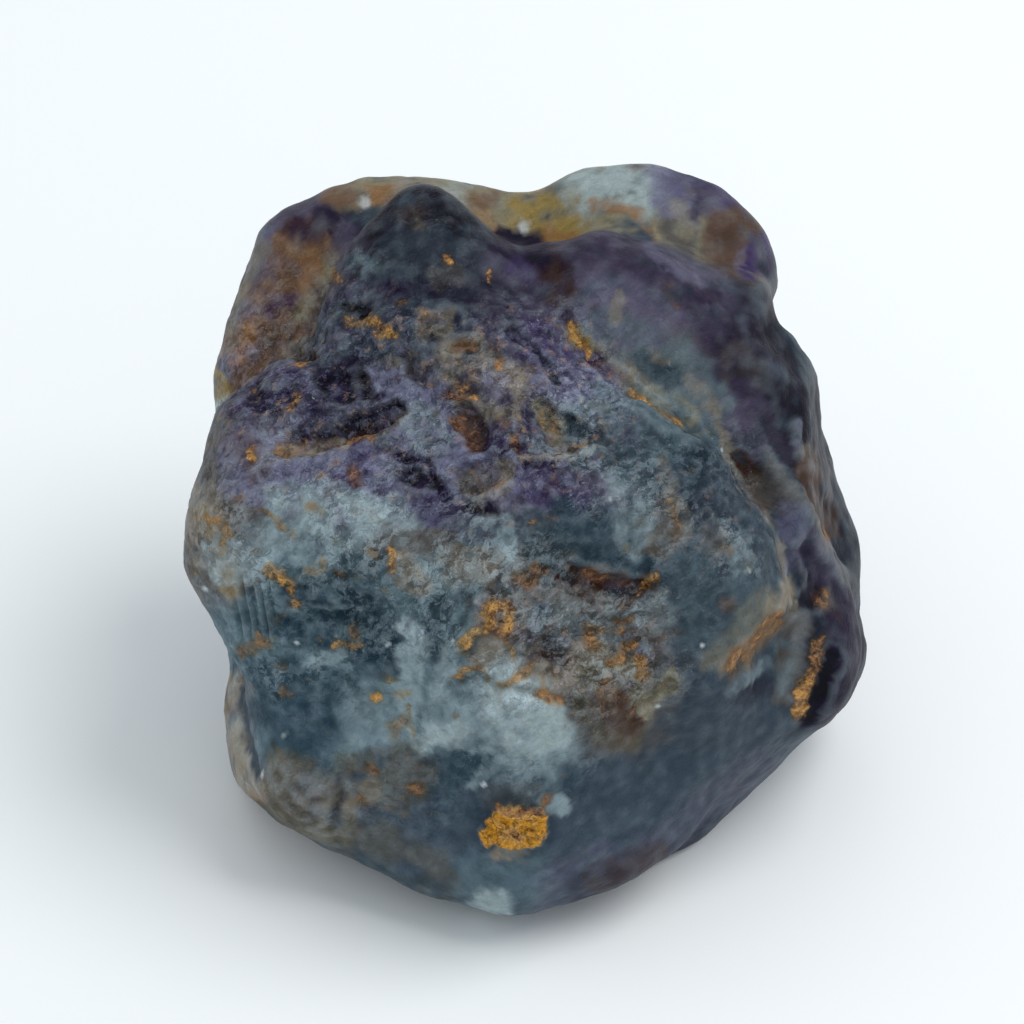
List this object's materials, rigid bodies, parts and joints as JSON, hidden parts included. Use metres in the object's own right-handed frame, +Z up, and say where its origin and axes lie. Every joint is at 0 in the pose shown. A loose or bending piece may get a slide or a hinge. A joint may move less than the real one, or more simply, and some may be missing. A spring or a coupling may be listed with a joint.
{
  "type": "rough fluorite",
  "caption": "Rough fluorite nugget, teal and violet with rust stains: a worn lumpy stone with ledges and hollows that stands on a flat face.",
  "frame": {"origin": "centre of the stone's box at the height of the face that it stands on", "axes": "+Z up, +Y away from the viewer of the pictured side, +X to the right of it"},
  "size_m": [0.0346, 0.0318, 0.0298],
  "materials": {
    "fluorite": "satin"
  },
  "bodies": {
    "root": {"fluorite_nugget": "fluorite"}
  },
  "joints": []
}
